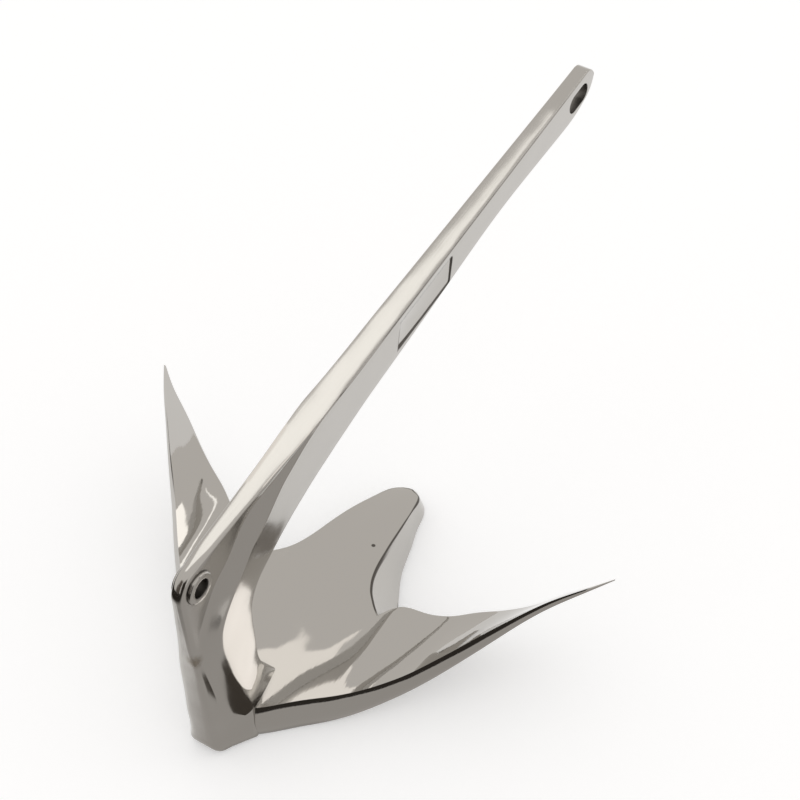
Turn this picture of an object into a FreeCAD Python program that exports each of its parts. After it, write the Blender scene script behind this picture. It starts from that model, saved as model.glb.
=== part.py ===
import FreeCAD, Part
import math
import os

"""Claw anchor, cast in one piece from stainless steel and polished.

Frame: +X points forward from the crown to the shackle end of the shank, +Y to the anchor's left,
+Z up. The anchor stands on its heel and the tip of its palm, as it rests on a floor at z = 0.
While it is drawn, x = 0 lies at the back of the crown. The finished solid is then centred in x.
All lengths are millimetres and all angles degrees.
"""

Vector = FreeCAD.Vector

# Shank, measured along its straight back from the corner that back and crown would make
SHANK_RISE = 7.65            # slope of the back over the floor
CORNER_HEIGHT = 126.1        # height of that corner
SHANK_LENGTH = 353.0         # corner to the end of the nose
ROOT_STATION = 112.0         # where the straight shank begins
ROOT_DEPTH = 27.6            # back to front at the root
WAIST_STATION = 262.0
WAIST_DEPTH = 17.2
EYE_DEPTH = 20.0
EYE_FROM_NOSE = 35.0         # where the shank is deepest about the slot, back from the nose
ROOT_HALF = 6.7              # half the thickness at the root
NOSE_HALF = 3.8              # half the thickness at the nose
EDGE_BREAK = 0.9             # bevel along the long edges
BACK_SPARE = 2.0             # sections are drawn this far over the back, then trimmed to it
# Rounded nose: each point as (distance back from the end, depth below the back)
NOSE_TOP = (6.5, 0.0)
NOSE_UPPER = (1.8, 2.6)
NOSE_END = (0.0, 8.0)
NOSE_LOWER = (2.4, 13.2)
NOSE_LOW = (8.0, 17.2)

# Shackle slot through the end of the shank
SLOT_LENGTH = 18.0
SLOT_WIDTH = 10.4
SLOT_FROM_NOSE = 15.6        # from its centre to the end
SLOT_COVER = 5.3             # metal between the slot and the back

# Trip eye through the corner of the crown
TRIP_RADIUS = 4.7
TRIP_FROM_BACK = 11.6        # depth below the back, and radius of the rounded corner
TRIP_STATION = 12.4
BOSS_RADIUS = 7.9
BOSS_HALF = 5.6

# Size panel, sunk into the right side of the shank
PANEL_START = 170.3
PANEL_LENGTH = 46.2
PANEL_TOP = 4.2
PANEL_HEIGHT = 14.8
PANEL_SLANT = 4.6
PANEL_DEPTH = 0.9
CUT_BEYOND = 20.0            # cutters reach this far to each side of the middle plane

# Crown from the side, each point (x, z)
HEEL_BACK = (7.8, 4.6)
HEEL_MID = (8.6, 1.9)
HEEL_END = (10.4, 0.4)
HEEL_LOW_X = 16.0
LOBE_DROP = 1.0              # the rounded corner ends this far below its centre
THROAT = [(57.0, 15.0), (53.0, 18.6), (49.2, 23.4), (47.2, 30.0), (46.5, 44.0), (46.0, 58.0), (47.2, 72.0),
          (52.0, 82.0), (61.0, 90.2), (75.0, 98.2), (92.0, 105.6)]
# Front of the shank between root and waist, each point (station, depth)
UNDER_ROOT = [(135.0, 25.2), (165.0, 23.4), (210.0, 20.2)]
UNDER_WAIST = (292.0, 18.4)
UNDER_SLOT = (17.0, 19.6)    # back from the nose, depth

# Claw: height of its rear rim, upper and lower edge, over the distance from the middle plane
RIM_TOP = [(0, 17.2), (20, 17.2), (41, 17.0), (52, 18.6), (60, 21.0), (66, 23.6), (72, 27.2), (80, 32.4),
           (90, 40.0), (100, 46.8), (110, 51.6), (120, 53.6), (130, 54.2)]
RIM_LOW = [(0, 0.0), (12, 0.0), (24, 0.0), (34, 0.2), (44, 2.0), (52, 4.6), (60, 8.2), (66, 11.4), (72, 15.2),
           (80, 21.2), (90, 30.0), (100, 39.4), (110, 46.4), (120, 50.6), (130, 53.4)]
RIM_X = [(0, 22.0), (17.5, 28.6), (31, 42.0), (41, 51.0), (52, 61.5), (60, 70.2), (72, 84.2), (84, 99.6),
         (97, 115.4), (109, 130.4), (120, 143.8), (130, 157.4)]
# Fore and aft slope of its upper and lower faces
TOP_SLOPE = [(0, 0.07), (20, 0.075), (36, 0.145), (44, 0.155), (54, 0.08), (66, -0.05), (78, -0.17),
             (91, -0.43), (100, -0.6), (112, -0.7), (130, -0.72)]
LOW_SLOPE = [(0, 0.024), (20, 0.035), (36, 0.09), (44, 0.13), (54, 0.12), (66, 0.04), (78, -0.05),
             (91, -0.25), (100, -0.42), (112, -0.55), (130, -0.7)]
PALM_BEND_START = 108.0      # the palm turns down from here
PALM_BEND_TOP = 0.00312      # drop per square of the distance, upper face
PALM_BEND_LOW = 0.00059      # the same, lower face
PALM_HALF = 30.0             # the bend fades out from here
PALM_FADE = 62.0             # to here

# Plan of the front of the claw, left half: edge of the upper face, then the foot of the wall below it
INNER_EDGE = [(158.2, 129.3), (151.6, 120.0), (146.0, 108.0), (139.6, 96.0), (133.0, 84.0), (126.6, 72.0),
              (120.0, 62.5), (114.4, 53.0), (109.8, 43.0), (100.4, 35.7)]
INNER_FOOT = [(158.5, 129.1), (154.0, 118.8), (148.0, 107.0), (142.2, 94.8), (135.4, 82.8), (129.0, 71.2),
              (123.4, 62.6), (119.6, 55.2), (117.2, 49.4), (115.4, 45.2)]
PALM_EDGE = [(100.4, 35.7), (106.2, 29.4), (113.4, 23.8), (122.0, 20.2), (138.8, 16.8), (158.0, 13.4),
             (172.0, 10.4), (183.4, 6.4)]
PALM_FOOT = [(115.4, 45.2), (118.4, 41.2), (122.0, 37.4), (128.0, 32.7), (141.5, 24.0), (159.7, 17.5),
             (173.6, 12.6), (185.4, 7.8)]
PALM_TIP = 187.0             # farthest point of the edge
PALM_TOE = 189.6             # and of the foot
FOOT_LEVEL = 2.5             # height at which the foot is given
RIM_STATIONS = [130.0, 122, 114, 105, 96, 87, 78, 69, 60, 52, 41, 31, 22, 12, 0]
CUT_OVER = 2.0               # the leaning walls are drawn this far above the upper face
CUT_TOP = 90.0               # levels between which the outline is carried up and down
CUT_LOW = -4.0
FACE_BEHIND = 30.0           # the faces are drawn from here behind the rim
FACE_SPARE = 6.0             # and this far past the horns and the palm
FACE_HEIGHT = 200.0          # what is cut away over and under them
HOOK_LOW = -6.0              # the crown is drawn down to here, then cut level with the claw

# Crown sections from the heel up and round the bend: back, inner edge of the rear band, crest and
# front, each as (x, z) and half the thickness there; back and front lie just outside the side profile
CROWN_SECTIONS = [
    ((2.0, -8.0), 4.6, (16.0, -8.0), 11.0, (28.2, -8.0), 18.0, (64.0, -8.0), 17.0),
    ((2.0, 17.0), 5.0, (15.0, 17.0), 9.6, (25.8, 17.0), 15.0, (62.0, 17.0), 11.0),
    ((1.0, 27.0), 5.3, (13.0, 27.0), 8.6, (26.2, 26.5), 13.2, (53.0, 26.0), 5.4),
    ((0.0, 41.0), 5.2, (12.0, 41.0), 7.4, (23.8, 40.5), 12.0, (50.0, 39.0), 4.4),
    ((-1.0, 60.0), 4.8, (9.0, 60.0), 6.4, (19.4, 59.0), 11.2, (50.0, 55.0), 4.2),
    ((-1.0, 76.0), 4.4, (8.5, 75.0), 5.2, (16.4, 73.0), 10.6, (51.0, 67.0), 4.2),
    ((-2.0, 94.0), 4.0, (13.0, 88.5), 4.0, (18.6, 85.5), 10.0, (55.0, 76.0), 4.5),
    ((-2.0, 112.0), 3.5, (20.6, 100.4), 3.7, (28.0, 96.2), 9.2, (62.0, 82.0), 4.9),
    ((6.0, 127.0), 3.5, (29.0, 109.0), 3.7, (36.0, 102.2), 8.6, (70.0, 84.0), 5.2),
    ((18.0, 134.0), 3.9, (39.6, 118.2), 3.8, (46.2, 110.7), 8.0, (79.0, 87.0), 5.5),
    ((36.0, 136.0), 4.3, (54.0, 129.8), 4.1, (57.6, 116.2), 7.4, (88.0, 91.0), 5.7),
    ((57.0, 137.0), 4.5, (62.0, 131.8), 4.9, (70.6, 125.6), 7.0, (97.0, 96.0), 6.0),
    ((71.0, 138.0), 5.0, (76.0, 134.6), 5.4, (81.0, 130.6), 6.7, (106.0, 101.0), 6.2),
]
# Shank sections: station on the back, how far the front end of the section is ahead, its depth
SHANK_SECTIONS = [(100.0, 15.0, 36.0), (125.0, 8.0, 33.0), (160.0, 2.0, 31.0), (200.0, 0.0, 28.0),
                  (240.0, 0.0, 26.0), (280.0, 0.0, 26.0)]
LAST_DEPTH = 26.0            # of the sections on both sides of the nose
SECTION_BEFORE = 33.0        # last section before the end
SECTION_BEYOND = 7.0         # and the one past it


def rise(station, depth):
    """Point of the middle plane, given along the back of the shank and at right angles below it."""
    angle = math.radians(SHANK_RISE)
    x = station * math.cos(angle) + depth * math.sin(angle)
    z = CORNER_HEIGHT + station * math.sin(angle) - depth * math.cos(angle)
    return x, z


def on_shank(station, depth, y=0.0):
    """The same as a point in space."""
    x, z = rise(station, depth)
    return Vector(x, y, z)


def spline(points, parameters=None):
    """Edge along a smooth curve through points."""
    if parameters is None:
        parameters = [0.0]
        for before, after in zip(points, points[1:]):
            parameters.append(parameters[-1] + before.distanceToPoint(after))
    curve = Part.BSplineCurve()
    curve.interpolate(Points=points, Parameters=parameters)
    return curve.toShape()


def smooth_table(rows):
    """Smooth function through pairs of distance and value, level at the middle plane."""
    mirrored = [(-d, v) for d, v in reversed(rows) if d > 0] + list(rows)
    curve = Part.BSplineCurve()
    points = [Vector(d, v, 0) for d, v in mirrored]
    curve.interpolate(Points=points, Parameters=[float(d) for d, v in mirrored])
    return lambda d: curve.value(float(abs(d))).y


rim_top = smooth_table(RIM_TOP)
rim_low = smooth_table(RIM_LOW)
rim_x = smooth_table(RIM_X)
top_slope = smooth_table(TOP_SLOPE)
low_slope = smooth_table(LOW_SLOPE)


def palm_share(y):
    """One in the middle of the claw, falling smoothly to nothing at the horns."""
    t = min(1.0, max(0.0, (abs(y) - PALM_HALF) / (PALM_FADE - PALM_HALF)))
    return 0.5 + 0.5 * math.cos(math.pi * t)


def top_height(x, y):
    """Height of the claw's upper face."""
    bend = max(0.0, x - PALM_BEND_START) ** 2 * PALM_BEND_TOP * palm_share(y)
    return rim_top(y) + top_slope(y) * (x - rim_x(y)) - bend


def low_height(x, y):
    """Height of the claw's lower face."""
    bend = max(0.0, x - PALM_BEND_START) ** 2 * PALM_BEND_LOW * palm_share(y)
    return rim_low(y) + low_slope(y) * (x - rim_x(y)) - bend


def face_through(height):
    """Smooth face of the given height over the whole plan of the claw."""
    horn = float(RIM_X[-1][0])
    spacing_y = (horn + FACE_SPARE) / 17
    spacing_x = (PALM_TOE + FACE_SPARE + FACE_BEHIND - RIM_X[0][1]) / 16
    rows = []
    for i in range(-17, 18):
        y = i * spacing_y
        near = min(abs(y), horn)
        rear = rim_x(near) - FACE_BEHIND
        rows.append([Vector(rear + k * spacing_x, y, height(rear + k * spacing_x, near)) for k in range(17)])
    surface = Part.BSplineSurface()
    surface.interpolate(rows)
    return surface.toShape()


def claw_wires():
    """Outline of the claw at the low level, just over its upper face and at the top level, clockwise."""
    half_rim = [(rim_x(y), float(y)) for y in RIM_STATIONS]
    rim = [(x, -y) for x, y in half_rim[:-1]] + half_rim[::-1]

    def both_halves(points, tip):
        return points + [(tip, 0.0)] + [(x, -y) for x, y in reversed(points)]

    upper = [rim, INNER_EDGE, both_halves(PALM_EDGE, PALM_TIP), [(x, -y) for x, y in reversed(INNER_EDGE)]]
    lower = [rim, INNER_FOOT, both_halves(PALM_FOOT, PALM_TOE), [(x, -y) for x, y in reversed(INNER_FOOT)]]
    low, middle, high = [], [], []
    for edge, foot in zip(upper, lower):
        rows = ([], [], [])
        for (x, y), (foot_x, foot_y) in zip(edge, foot):
            z = top_height(x, abs(y))
            lean_x = (foot_x - x) / (z - FOOT_LEVEL)
            lean_y = (foot_y - y) / (z - FOOT_LEVEL)
            down = z - CUT_LOW
            rows[0].append(Vector(x + lean_x * down, y + lean_y * down, CUT_LOW))
            rows[1].append(Vector(x - lean_x * CUT_OVER, y - lean_y * CUT_OVER, z + CUT_OVER))
            rows[2].append(Vector(x - lean_x * CUT_OVER, y - lean_y * CUT_OVER, CUT_TOP))
        low.append(rows[0])
        middle.append(rows[1])
        high.append(rows[2])
    wires = []
    for level in (low, middle, high):
        edges = []
        for points, plan in zip(level, upper):
            travel = [0.0]
            for (ax, ay), (bx, by) in zip(plan, plan[1:]):
                travel.append(travel[-1] + math.hypot(bx - ax, by - ay))
            edges.append(spline(points, travel))
        tip_left = Part.makeLine(level[0][-1], level[1][0])
        tip_right = Part.makeLine(level[3][-1], level[0][0])
        wires.append(Part.Wire([edges[0], tip_left, edges[1], edges[2], edges[3], tip_right]))
    return wires


def make_claw():
    """Three-pronged claw, cut to its upper face but still too deep below."""
    block = Part.makeLoft(claw_wires(), True, True)
    over = face_through(top_height).extrude(Vector(0, 0, FACE_HEIGHT))
    return block.cut(over)


def section(back, back_half, inner, inner_half, crest, crest_half, front, front_half):
    """Eight corners of a section of crown or shank, right half first, then the left as its mirror image."""
    right = [(back, back_half), (inner, inner_half), (crest, crest_half), (front, front_half)]
    corners = [Vector(x, -half, z) for (x, z), half in right]
    return corners + [Vector(x, half, z) for (x, z), half in reversed(right)]


def shank_half(station):
    """Half the thickness of the shank, tapering from its root to its nose."""
    share = (station - ROOT_STATION) / (SHANK_LENGTH - ROOT_STATION)
    return ROOT_HALF + (NOSE_HALF - ROOT_HALF) * share


def make_body():
    """Crown and shank: straight strips between eight rails through the corners of the sections."""
    sections = [section(*row) for row in CROWN_SECTIONS]
    ends = [SHANK_LENGTH - SECTION_BEFORE, SHANK_LENGTH + SECTION_BEYOND]
    for station, ahead, depth in SHANK_SECTIONS + [(station, 0.0, LAST_DEPTH) for station in ends]:
        half = shank_half(station)
        sections.append(section(rise(station, -BACK_SPARE), half - EDGE_BREAK,
                                rise(station, EDGE_BREAK / 2), half - EDGE_BREAK / 2,
                                rise(station, EDGE_BREAK), half,
                                rise(station + ahead, depth), half - EDGE_BREAK / 2))
    travel = [0.0]
    for before, after in zip(sections, sections[1:]):
        step = sum(a.distanceToPoint(b) for a, b in zip(before, after)) / 8
        travel.append(travel[-1] + step)
    rails = [spline([corners[k] for corners in sections], travel) for k in range(8)]
    faces = [Part.makeRuledSurface(rails[k], rails[(k + 1) % 8]) for k in range(8)]
    for corners in (sections[0], sections[-1]):
        faces.append(Part.Face(Part.makePolygon(corners + corners[:1])))
    shell = Part.makeShell(faces)
    shell.sewShape()
    return Part.makeSolid(shell)


def side_profile():
    """Outline of crown and shank seen from the side, as a face in the middle plane."""

    def point(x, z):
        return Vector(x, 0, z)

    def on_nose(back, depth):
        return on_shank(SHANK_LENGTH - back, depth)

    centre = on_shank(TRIP_STATION, TRIP_FROM_BACK)
    corner = TRIP_FROM_BACK * math.sqrt(0.5)
    back_top = on_shank(TRIP_STATION, 0.0)
    lobe_mid = point(centre.x - corner, centre.z + corner)
    lobe_end = point(centre.x - TRIP_FROM_BACK, centre.z - LOBE_DROP)
    heel_low = point(HEEL_LOW_X, HOOK_LOW)
    foot = point(*THROAT[0])
    front_low = point(foot.x, HOOK_LOW)
    root = on_shank(ROOT_STATION, ROOT_DEPTH)
    throat = [point(*place) for place in THROAT] + [root]
    under_shank = [root]
    under_shank += [on_shank(*place) for place in UNDER_ROOT]
    under_shank += [on_shank(WAIST_STATION, WAIST_DEPTH), on_shank(*UNDER_WAIST),
                    on_nose(EYE_FROM_NOSE, EYE_DEPTH), on_nose(*UNDER_SLOT), on_nose(*NOSE_LOW)]
    edges = [
        Part.makeLine(on_nose(*NOSE_TOP), back_top),
        Part.Arc(back_top, lobe_mid, lobe_end).toShape(),
        Part.makeLine(lobe_end, point(*HEEL_BACK)),
        Part.Arc(point(*HEEL_BACK), point(*HEEL_MID), point(*HEEL_END)).toShape(),
        Part.makeLine(point(*HEEL_END), heel_low),
        Part.makeLine(heel_low, front_low),
        Part.makeLine(front_low, foot),
        spline(throat),
        spline(under_shank),
        Part.Arc(on_nose(*NOSE_LOW), on_nose(*NOSE_LOWER), on_nose(*NOSE_END)).toShape(),
        Part.Arc(on_nose(*NOSE_END), on_nose(*NOSE_UPPER), on_nose(*NOSE_TOP)).toShape(),
    ]
    return Part.Face(Part.Wire(edges))


def make_hook():
    """Crown and shank, trimmed to their side profile."""
    body = make_body()
    half = body.BoundBox.YMax + CUT_BEYOND
    plate = side_profile()
    plate.translate(Vector(0, -half, 0))
    return body.common(plate.extrude(Vector(0, 2 * half, 0)))


def rod(centre, radius, half_length):
    """Round bar across the anchor."""
    return Part.makeCylinder(radius, 2 * half_length, centre - Vector(0, half_length, 0), Vector(0, 1, 0))


def slot():
    """Cutter for the shackle slot, round at both ends and in line with the shank."""
    reach = (SLOT_LENGTH - SLOT_WIDTH) / 2
    middle = SLOT_COVER + SLOT_WIDTH / 2
    centre = SHANK_LENGTH - SLOT_FROM_NOSE
    rear = on_shank(centre - reach, middle)
    fore = on_shank(centre + reach, middle)
    radius = SLOT_WIDTH / 2
    bar = Part.makeBox(2 * reach, 2 * CUT_BEYOND, SLOT_WIDTH, Vector(0, -CUT_BEYOND, -radius))
    bar.rotate(Vector(0, 0, 0), Vector(0, 1, 0), -SHANK_RISE)
    bar.translate(rear)
    return bar.fuse(rod(rear, radius, CUT_BEYOND)).fuse(rod(fore, radius, CUT_BEYOND))


def panel():
    """Cutter for the slanted panel, its floor level with the tapering side of the shank."""
    low = PANEL_TOP + PANEL_HEIGHT
    places = [(PANEL_START, PANEL_TOP), (PANEL_START + PANEL_LENGTH, PANEL_TOP),
              (PANEL_START + PANEL_LENGTH - PANEL_SLANT, low), (PANEL_START - PANEL_SLANT, low)]
    corners = [on_shank(station, depth, PANEL_DEPTH - shank_half(station)) for station, depth in places]
    return Part.Face(Part.makePolygon(corners + corners[:1])).extrude(Vector(0, -CUT_BEYOND, 0))


def make_anchor():
    """The whole casting, centred in x and standing on the floor."""
    eye = on_shank(TRIP_STATION, TRIP_FROM_BACK)
    under = face_through(low_height).extrude(Vector(0, 0, -FACE_HEIGHT))
    anchor = make_claw().fuse(make_hook()).cut(under)
    anchor = anchor.fuse(rod(eye, BOSS_RADIUS, BOSS_HALF))
    anchor = anchor.cut(rod(eye, TRIP_RADIUS, CUT_BEYOND)).cut(slot()).cut(panel())
    solid = anchor.Solids[0]
    box = solid.optimalBoundingBox()
    solid.translate(Vector(-(box.XMin + box.XMax) / 2, 0, -box.ZMin))
    return solid


os.makedirs("parts", exist_ok=True)
make_anchor().exportStep("parts/claw_anchor.step")
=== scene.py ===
"""Claw anchor, cast in one piece from stainless steel and mirror polished.

The casting is worked out in millimetres with x = 0 at the back of the crown, y to the anchor's left
and z up from the floor, and place_mesh() puts it into the frame in metres.
"""

import math

import bmesh
import bpy
import numpy as np
from mathutils import Matrix


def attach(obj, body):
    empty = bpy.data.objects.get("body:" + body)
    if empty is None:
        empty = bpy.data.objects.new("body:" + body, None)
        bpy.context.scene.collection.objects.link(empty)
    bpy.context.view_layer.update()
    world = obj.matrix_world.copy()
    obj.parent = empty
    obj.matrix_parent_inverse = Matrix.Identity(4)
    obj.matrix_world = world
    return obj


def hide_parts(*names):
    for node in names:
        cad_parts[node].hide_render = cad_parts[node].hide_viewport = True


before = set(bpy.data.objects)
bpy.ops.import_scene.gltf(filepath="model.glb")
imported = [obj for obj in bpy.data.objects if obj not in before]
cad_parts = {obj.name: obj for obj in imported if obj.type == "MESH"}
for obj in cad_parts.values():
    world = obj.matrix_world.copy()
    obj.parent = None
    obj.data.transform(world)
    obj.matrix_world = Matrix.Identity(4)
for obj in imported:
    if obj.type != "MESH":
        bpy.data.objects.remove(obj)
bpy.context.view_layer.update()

# From the drawing's zero to the frame's, in millimetres
SHIFT = np.array([-176.559, 0.0, 0.307])

# Shank, measured along its straight back from the corner that back and crown would make
SHANK_RISE = math.radians(7.65)
CORNER_HEIGHT = 126.1
SHANK_LENGTH = 353.0
ROOT_STATION = 112.0
ROOT_DEPTH = 27.6
ROOT_HALF = 6.7
NOSE_HALF = 3.8
THINNING = (NOSE_HALF - ROOT_HALF) / (SHANK_LENGTH - ROOT_STATION)
EDGE_BREAK = 0.9
BAND_DEPTH = 0.4             # the rear band's inner edge runs on within the bevel, this far down
FRONT_THINNER = 0.4          # half the thickness lacks this at the front edge
BACK_SPARE = 2.0             # sections start this far over the back
# Front of the shank from the root to the slot, each point (station, depth)
UNDERSIDE = [(135.0, 25.2), (165.0, 23.4), (210.0, 20.2), (262.0, 17.2), (292.0, 18.4), (318.0, 20.0),
             (336.0, 19.6)]
# Rounded nose: each point as (distance back from the end, depth below the back)
NOSE_TOP = (6.5, 0.0)
NOSE_UPPER = (1.8, 2.6)
NOSE_END = (0.0, 8.0)
NOSE_LOWER = (2.4, 13.2)
NOSE_LOW = (8.0, 17.2)
NOSE_FLAT = 1.2              # the outlines stop this far short of the end, and a flat face closes it
NOSE_THINNER = (0.5, 0.2, 0.0, 0.3)  # what the four corners of that face lack in half thickness

# Shackle slot
SLOT_LENGTH = 18.0
SLOT_WIDTH = 10.4
SLOT_CENTRE = 337.4
SLOT_COVER = 5.3
SLOT_REACH = (SLOT_LENGTH - SLOT_WIDTH) / 2  # from its centre to the centres of its round ends
SLOT_DEPTH = SLOT_COVER + SLOT_WIDTH / 2     # from the back to its centre line

# Trip eye
TRIP_RADIUS = 4.7
TRIP_FROM_BACK = 11.6
TRIP_STATION = 12.4
BOSS_RADIUS = 7.9
BOSS_HALF = 5.3
BOSS_ROUND = 0.9
LOBE_DROP = 1.0              # the round corner of the crown ends this far below the eye's centre

# Sunk panel on the right side of the shank
PANEL_START = 170.3
PANEL_LENGTH = 46.2
PANEL_TOP = 4.2
PANEL_HEIGHT = 14.8
PANEL_SLANT = 4.6
PANEL_DEPTH = 0.9
PANEL_CORNER = 1.3
PANEL_FILLET = 0.35

# Claw: values over the distance from the middle plane
RIM_TOP = [(0, 17.2), (20, 17.2), (41, 17.0), (52, 18.6), (60, 21.0), (66, 23.6), (72, 27.2), (80, 32.4),
           (90, 40.0), (100, 46.8), (110, 51.6), (120, 53.6), (130, 54.2)]
RIM_LOW = [(0, 0.0), (12, 0.0), (24, 0.0), (34, 0.2), (44, 2.0), (52, 4.6), (60, 8.2), (66, 11.4),
           (72, 15.2), (80, 21.2), (90, 30.0), (100, 39.4), (110, 46.4), (120, 50.6), (130, 53.4)]
RIM_X = [(0, 22.0), (17.5, 28.6), (31, 42.0), (41, 51.0), (52, 61.5), (60, 70.2), (72, 84.2), (84, 99.6),
         (97, 115.4), (109, 130.4), (120, 143.8), (130, 157.4)]
TOP_SLOPE = [(0, 0.07), (20, 0.075), (36, 0.145), (44, 0.155), (54, 0.08), (66, -0.05), (78, -0.17),
             (91, -0.43), (100, -0.6), (112, -0.7), (130, -0.72)]
LOW_SLOPE = [(0, 0.024), (20, 0.035), (36, 0.09), (44, 0.13), (54, 0.12), (66, 0.04), (78, -0.05),
             (91, -0.25), (100, -0.42), (112, -0.55), (130, -0.7)]
PALM_BEND_START = 108.0
PALM_BEND_TOP = 0.00312
PALM_BEND_LOW = 0.00059
PALM_HALF = 30.0
PALM_FADE = 62.0
# Plan of the front of its left half: edge of the upper face, then the foot of the wall below it
INNER_EDGE = [(158.2, 129.3), (151.6, 120.0), (146.0, 108.0), (139.6, 96.0), (133.0, 84.0), (126.6, 72.0),
              (120.0, 62.5), (114.4, 53.0), (109.8, 43.0), (100.4, 35.7)]
INNER_FOOT = [(158.5, 129.1), (154.0, 118.8), (148.0, 107.0), (142.2, 94.8), (135.4, 82.8), (129.0, 71.2),
              (123.4, 62.6), (119.6, 55.2), (117.2, 49.4), (115.4, 45.2)]
PALM_EDGE = [(100.4, 35.7), (106.2, 29.4), (113.4, 23.8), (122.0, 20.2), (138.8, 16.8), (158.0, 13.4),
             (172.0, 10.4), (183.4, 6.4)]
PALM_FOOT = [(115.4, 45.2), (118.4, 41.2), (122.0, 37.4), (128.0, 32.7), (141.5, 24.0), (159.7, 17.5),
             (173.6, 12.6), (185.4, 7.8)]
PALM_TIP = 187.0
PALM_TOE = 189.6
FOOT_LEVEL = 2.5

# Crown sections from the heel up and round the bend: back, inner edge of the rear band, crest and front,
# each as (x, z) and half the thickness there
CROWN_SECTIONS = [
    ((2.0, 17.0), 5.0, (15.0, 17.0), 9.6, (25.8, 17.0), 15.0, (62.0, 17.0), 11.0),
    ((1.0, 27.0), 5.3, (13.0, 27.0), 8.6, (26.2, 26.5), 13.2, (53.0, 26.0), 5.4),
    ((0.0, 41.0), 5.2, (12.0, 41.0), 7.4, (23.8, 40.5), 12.0, (50.0, 39.0), 4.4),
    ((-1.0, 60.0), 4.8, (9.0, 60.0), 6.4, (19.4, 59.0), 11.2, (50.0, 55.0), 4.2),
    ((-1.0, 76.0), 4.4, (8.5, 75.0), 5.2, (16.4, 73.0), 10.6, (51.0, 67.0), 4.2),
    ((-2.0, 94.0), 4.0, (13.0, 88.5), 4.0, (18.6, 85.5), 10.0, (55.0, 76.0), 4.5),
    ((-2.0, 112.0), 3.5, (20.6, 100.4), 3.7, (28.0, 96.2), 9.2, (62.0, 82.0), 4.9),
    ((6.0, 127.0), 3.5, (29.0, 109.0), 3.7, (36.0, 102.2), 8.6, (70.0, 84.0), 5.2),
    ((18.0, 134.0), 3.9, (39.6, 118.2), 3.8, (46.2, 110.7), 8.0, (79.0, 87.0), 5.5),
    ((36.0, 136.0), 4.3, (54.0, 129.8), 4.1, (57.6, 116.2), 7.4, (88.0, 91.0), 5.7),
    ((57.0, 137.0), 4.5, (62.0, 131.8), 4.9, (70.6, 125.6), 7.0, (97.0, 96.0), 6.0),
    ((71.0, 138.0), 5.0, (76.0, 134.6), 5.4, (81.0, 130.6), 6.7, (106.0, 101.0), 6.2),
]
# Shank sections: station on the back, how far the front end is ahead of it, and its depth
SHANK_SECTIONS = [(100.0, 15.0, 36.0), (125.0, 8.0, 33.0), (160.0, 2.0, 31.0), (200.0, 0.0, 28.0),
                  (240.0, 0.0, 26.0), (280.0, 0.0, 26.0), (320.0, 0.0, 26.0)]
# The same four corners on the floor; the front one is inside the claw
SOLE = ((13.0, -0.26), 8.6, (17.2, -0.16), 10.8, (27.4, 0.06), 17.4, (57.0, 3.0), 15.4)
# Back of the heel above it, and the inner side of the crown up to the root of the shank, as (x, z)
HEEL_MID = (9.3, 2.2)
HEEL_BACK = (7.4, 8.5)
THROAT = [(57.0, 15.0), (53.0, 18.6), (49.2, 23.4), (47.2, 30.0), (46.5, 44.0), (46.0, 58.0), (47.2, 72.0),
          (52.0, 82.0), (61.0, 90.2), (75.0, 98.2), (92.0, 105.6)]

# Rounding of the four polished edges of crown and shank, over the distance along them from the floor
BACK_ROUND = [(0, 6.0), (14, 5.0), (30, 3.2), (50, 2.6), (90, 2.6), (104, 3.4), (116, 3.2), (126, 1.7),
              (150, 1.2), (450, 1.1)]
BAND_ROUND = [(0, 1.0), (55, 1.2), (85, 5.0), (450, 6.0)]
CREST_ROUND = [(0, 1.2), (6, 1.5), (22, 12.0), (62, 12.0), (85, 3.0), (110, 1.6), (450, 1.6)]
THROAT_ROUND = 1.3
SOLE_ROUND = 2.4             # lower edges of the heel
SOLE_FADE = 4.0              # their rounding fades out this close to the middle plane

# Rounding of the other edges
RIM_CREASE = 0.17            # rim crease ahead of the rim line, as a share of the thickness
RIM_KEEL = 0.03              # the same at its foot
RIM_SWELL = ((-0.03, 0.24), (0.13, 0.58))  # inner Bezier points of the rim: rearward, below the crease
EDGE_ROUND = 1.1             # front edges of the claw
FOOT_ROUND = 1.6
HOLE_ROUND = 0.5

# How finely the surfaces are divided
HORN_STEPS = 90
PALM_STEPS = 150
FACE_ROWS = 29
WALL_ROWS = 9
RIM_ROWS = 17
HOLE_STEPS = 96
ROUND_STEPS = 6
HEEL_POINTS = 24
CORNER_POINTS = 80
NOSE_POINTS = 30
THROAT_POINTS = 400
UNDERSIDE_POINTS = 300
HEEL_ROWS = 16               # over the first millimetres of the crown, where the heel is rounded
HEEL_REACH = 6.0
HOOK_ROWS = 420
SHARP_ANGLE = math.radians(32)  # the shading is smooth over edges that turn less

# Finish: colours of clean steel, of the stain on the crown and of the painted shade and pit, and the share
# that each covers
STEEL = (0.50, 0.483, 0.457)
STAIN = (0.24, 0.20, 0.15)
STAIN_SHARE = 0.75
PAINTED_SHADE_AND_PIT = (0.06, 0.052, 0.045)
PAINTED_SHADE_AND_PIT_SHARE = 0.9
# How blurred the claw mirrors, and what satin faces, the painted shade and pit, and the stain add to that
MIRROR_BLUR = 0.05
SATIN_BLUR = 0.10
PAINTED_SHADE_AND_PIT_BLUR = 0.25
STAIN_BLUR = 0.2
# Slow waves of the surface and polishing lines along the shank: height in metres, scale per millimetre
WAVE_HEIGHT = 0.00035
WAVE_SCALE = 0.045
LINE_HEIGHT = 0.000006
LINES_ALONG = 0.03
LINES_ACROSS = 1.3
# Marks, in millimetres of the frame: small pit on the palm and stain at the back of the crown
PIT = (-39.9, -9.7, 22.4)
PIT_EDGE = (0.7, 1.3)
STAIN_SPOT = (-172.0, -4.0, 74.0)
STAIN_EDGE = (3.0, 8.0)
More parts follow.
